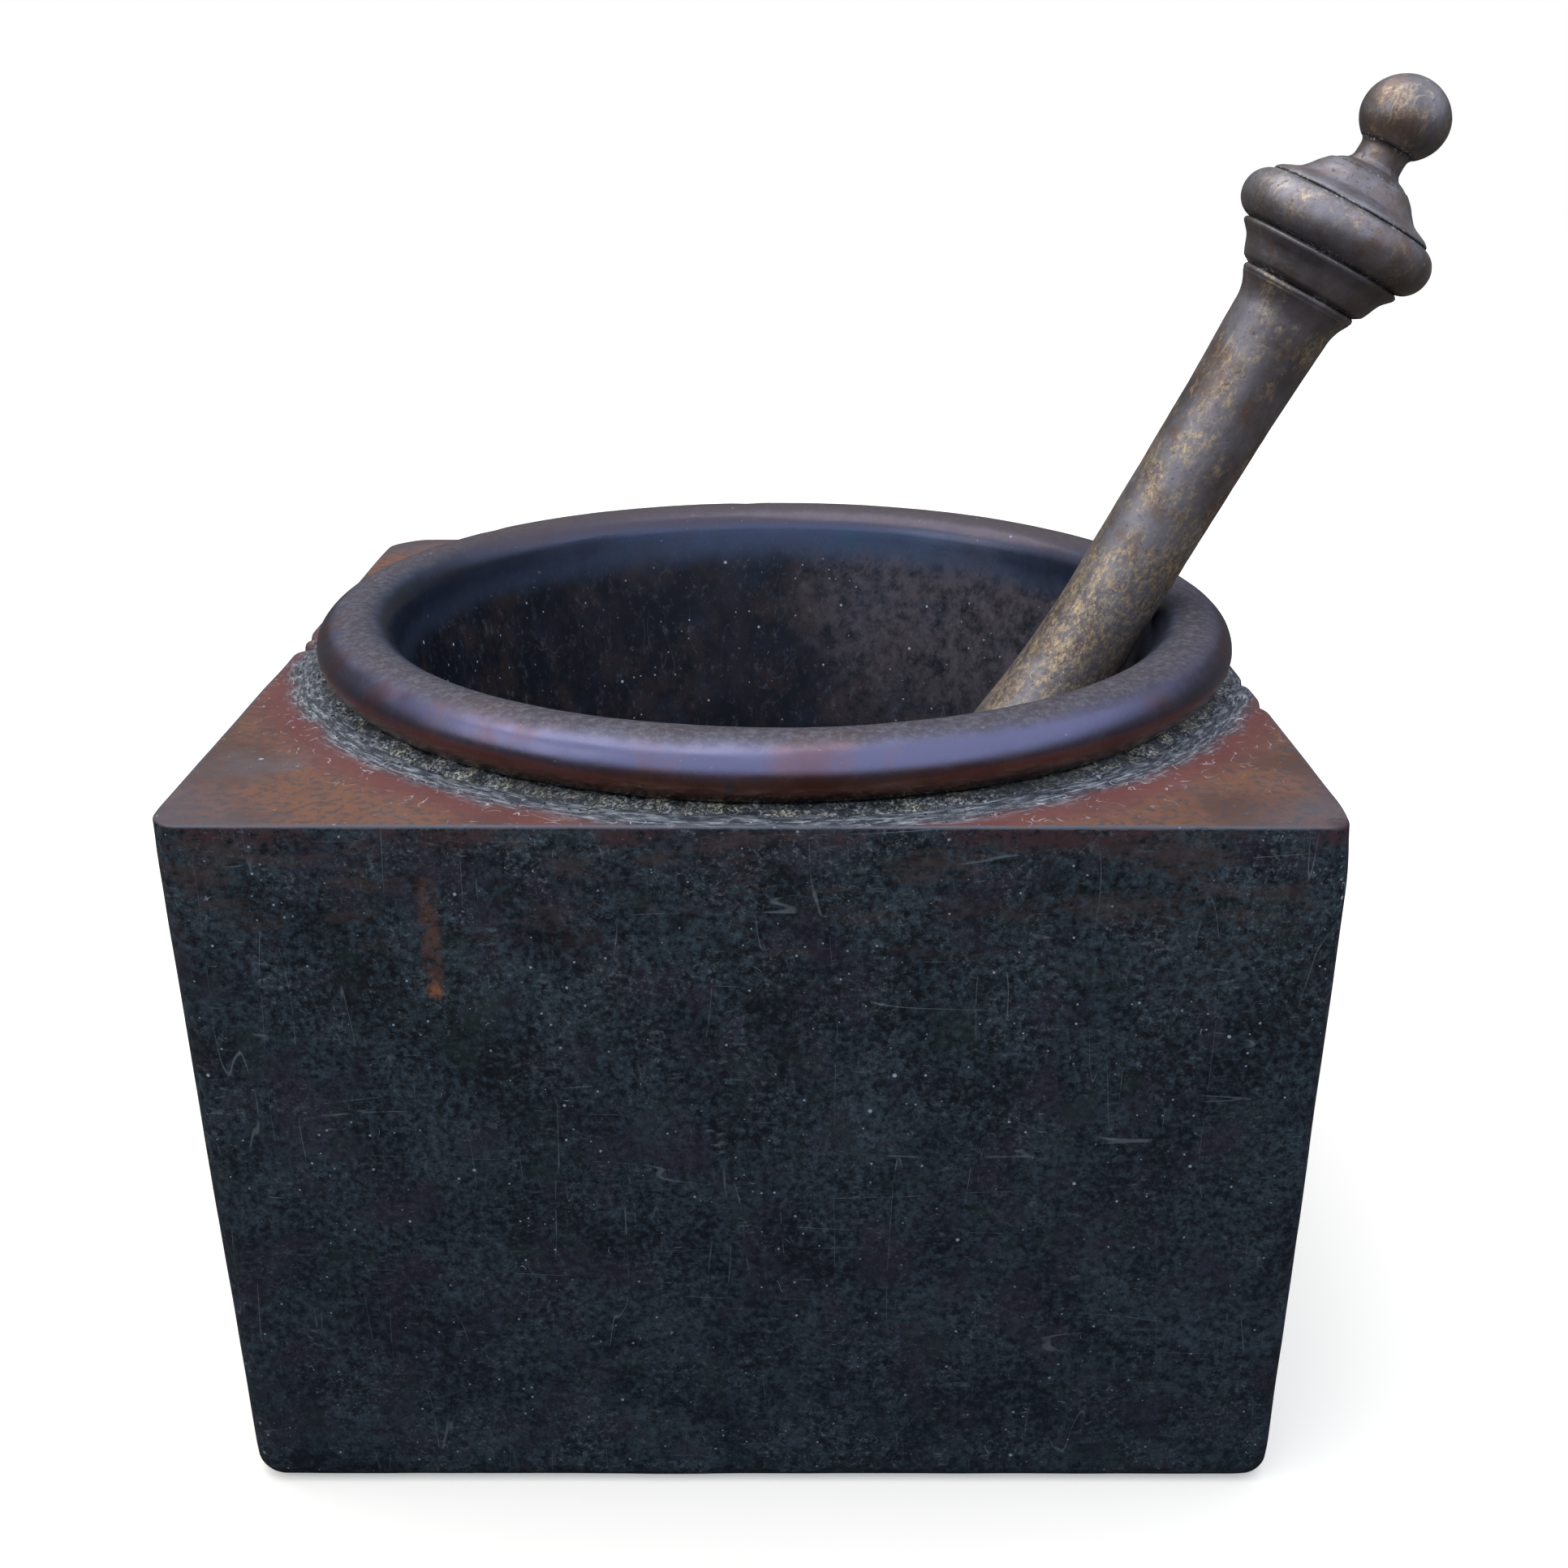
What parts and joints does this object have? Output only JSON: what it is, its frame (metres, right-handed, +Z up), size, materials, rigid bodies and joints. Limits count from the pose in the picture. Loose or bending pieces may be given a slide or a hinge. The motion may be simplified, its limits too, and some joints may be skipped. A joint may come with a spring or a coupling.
{
  "type": "block mortar and pestle",
  "caption": "Square block mortar with a turned bowl let into its top, a thick round bead rim, and a turned pestle leaning in the bowl.",
  "frame": {"origin": "centre of the block's underside, on the surface that it stands on", "axes": "+Z up, out of the bowl; -Y is the front, a plain side of the block; the pestle leans towards +X"},
  "size_m": [0.2941, 0.2524, 0.3217],
  "materials": {
    "block_iron": "old black casting skin, worn to reddish brown on the top face, satin",
    "bowl_bronze": "dark brown-violet bronze, smooth and glossy on the rim, dull inside",
    "bedding": "pale grey crumbly cement, matt",
    "pestle_bronze": "handled bronze, grey-brown with golden wear and dark recesses, satin",
    "rod_steel": "plain bar"
  },
  "bodies": {
    "mortar": {"mortar_block": "block_iron", "mortar_bowl": "bowl_bronze", "bedding_ring": "bedding"},
    "pestle": {"pestle_shaft": "pestle_bronze", "handle_bell": "pestle_bronze", "handle_torus": "pestle_bronze", "handle_dome": "pestle_bronze", "handle_neck": "pestle_bronze", "handle_ball": "pestle_bronze", "handle_rod": "rod_steel"}
  },
  "joints": [
    {"name": "pestle_lift", "type": "slide", "parent": "mortar", "child": "pestle", "axis": [0, 0, 1], "range_m": [0, 0.16]}
  ]
}
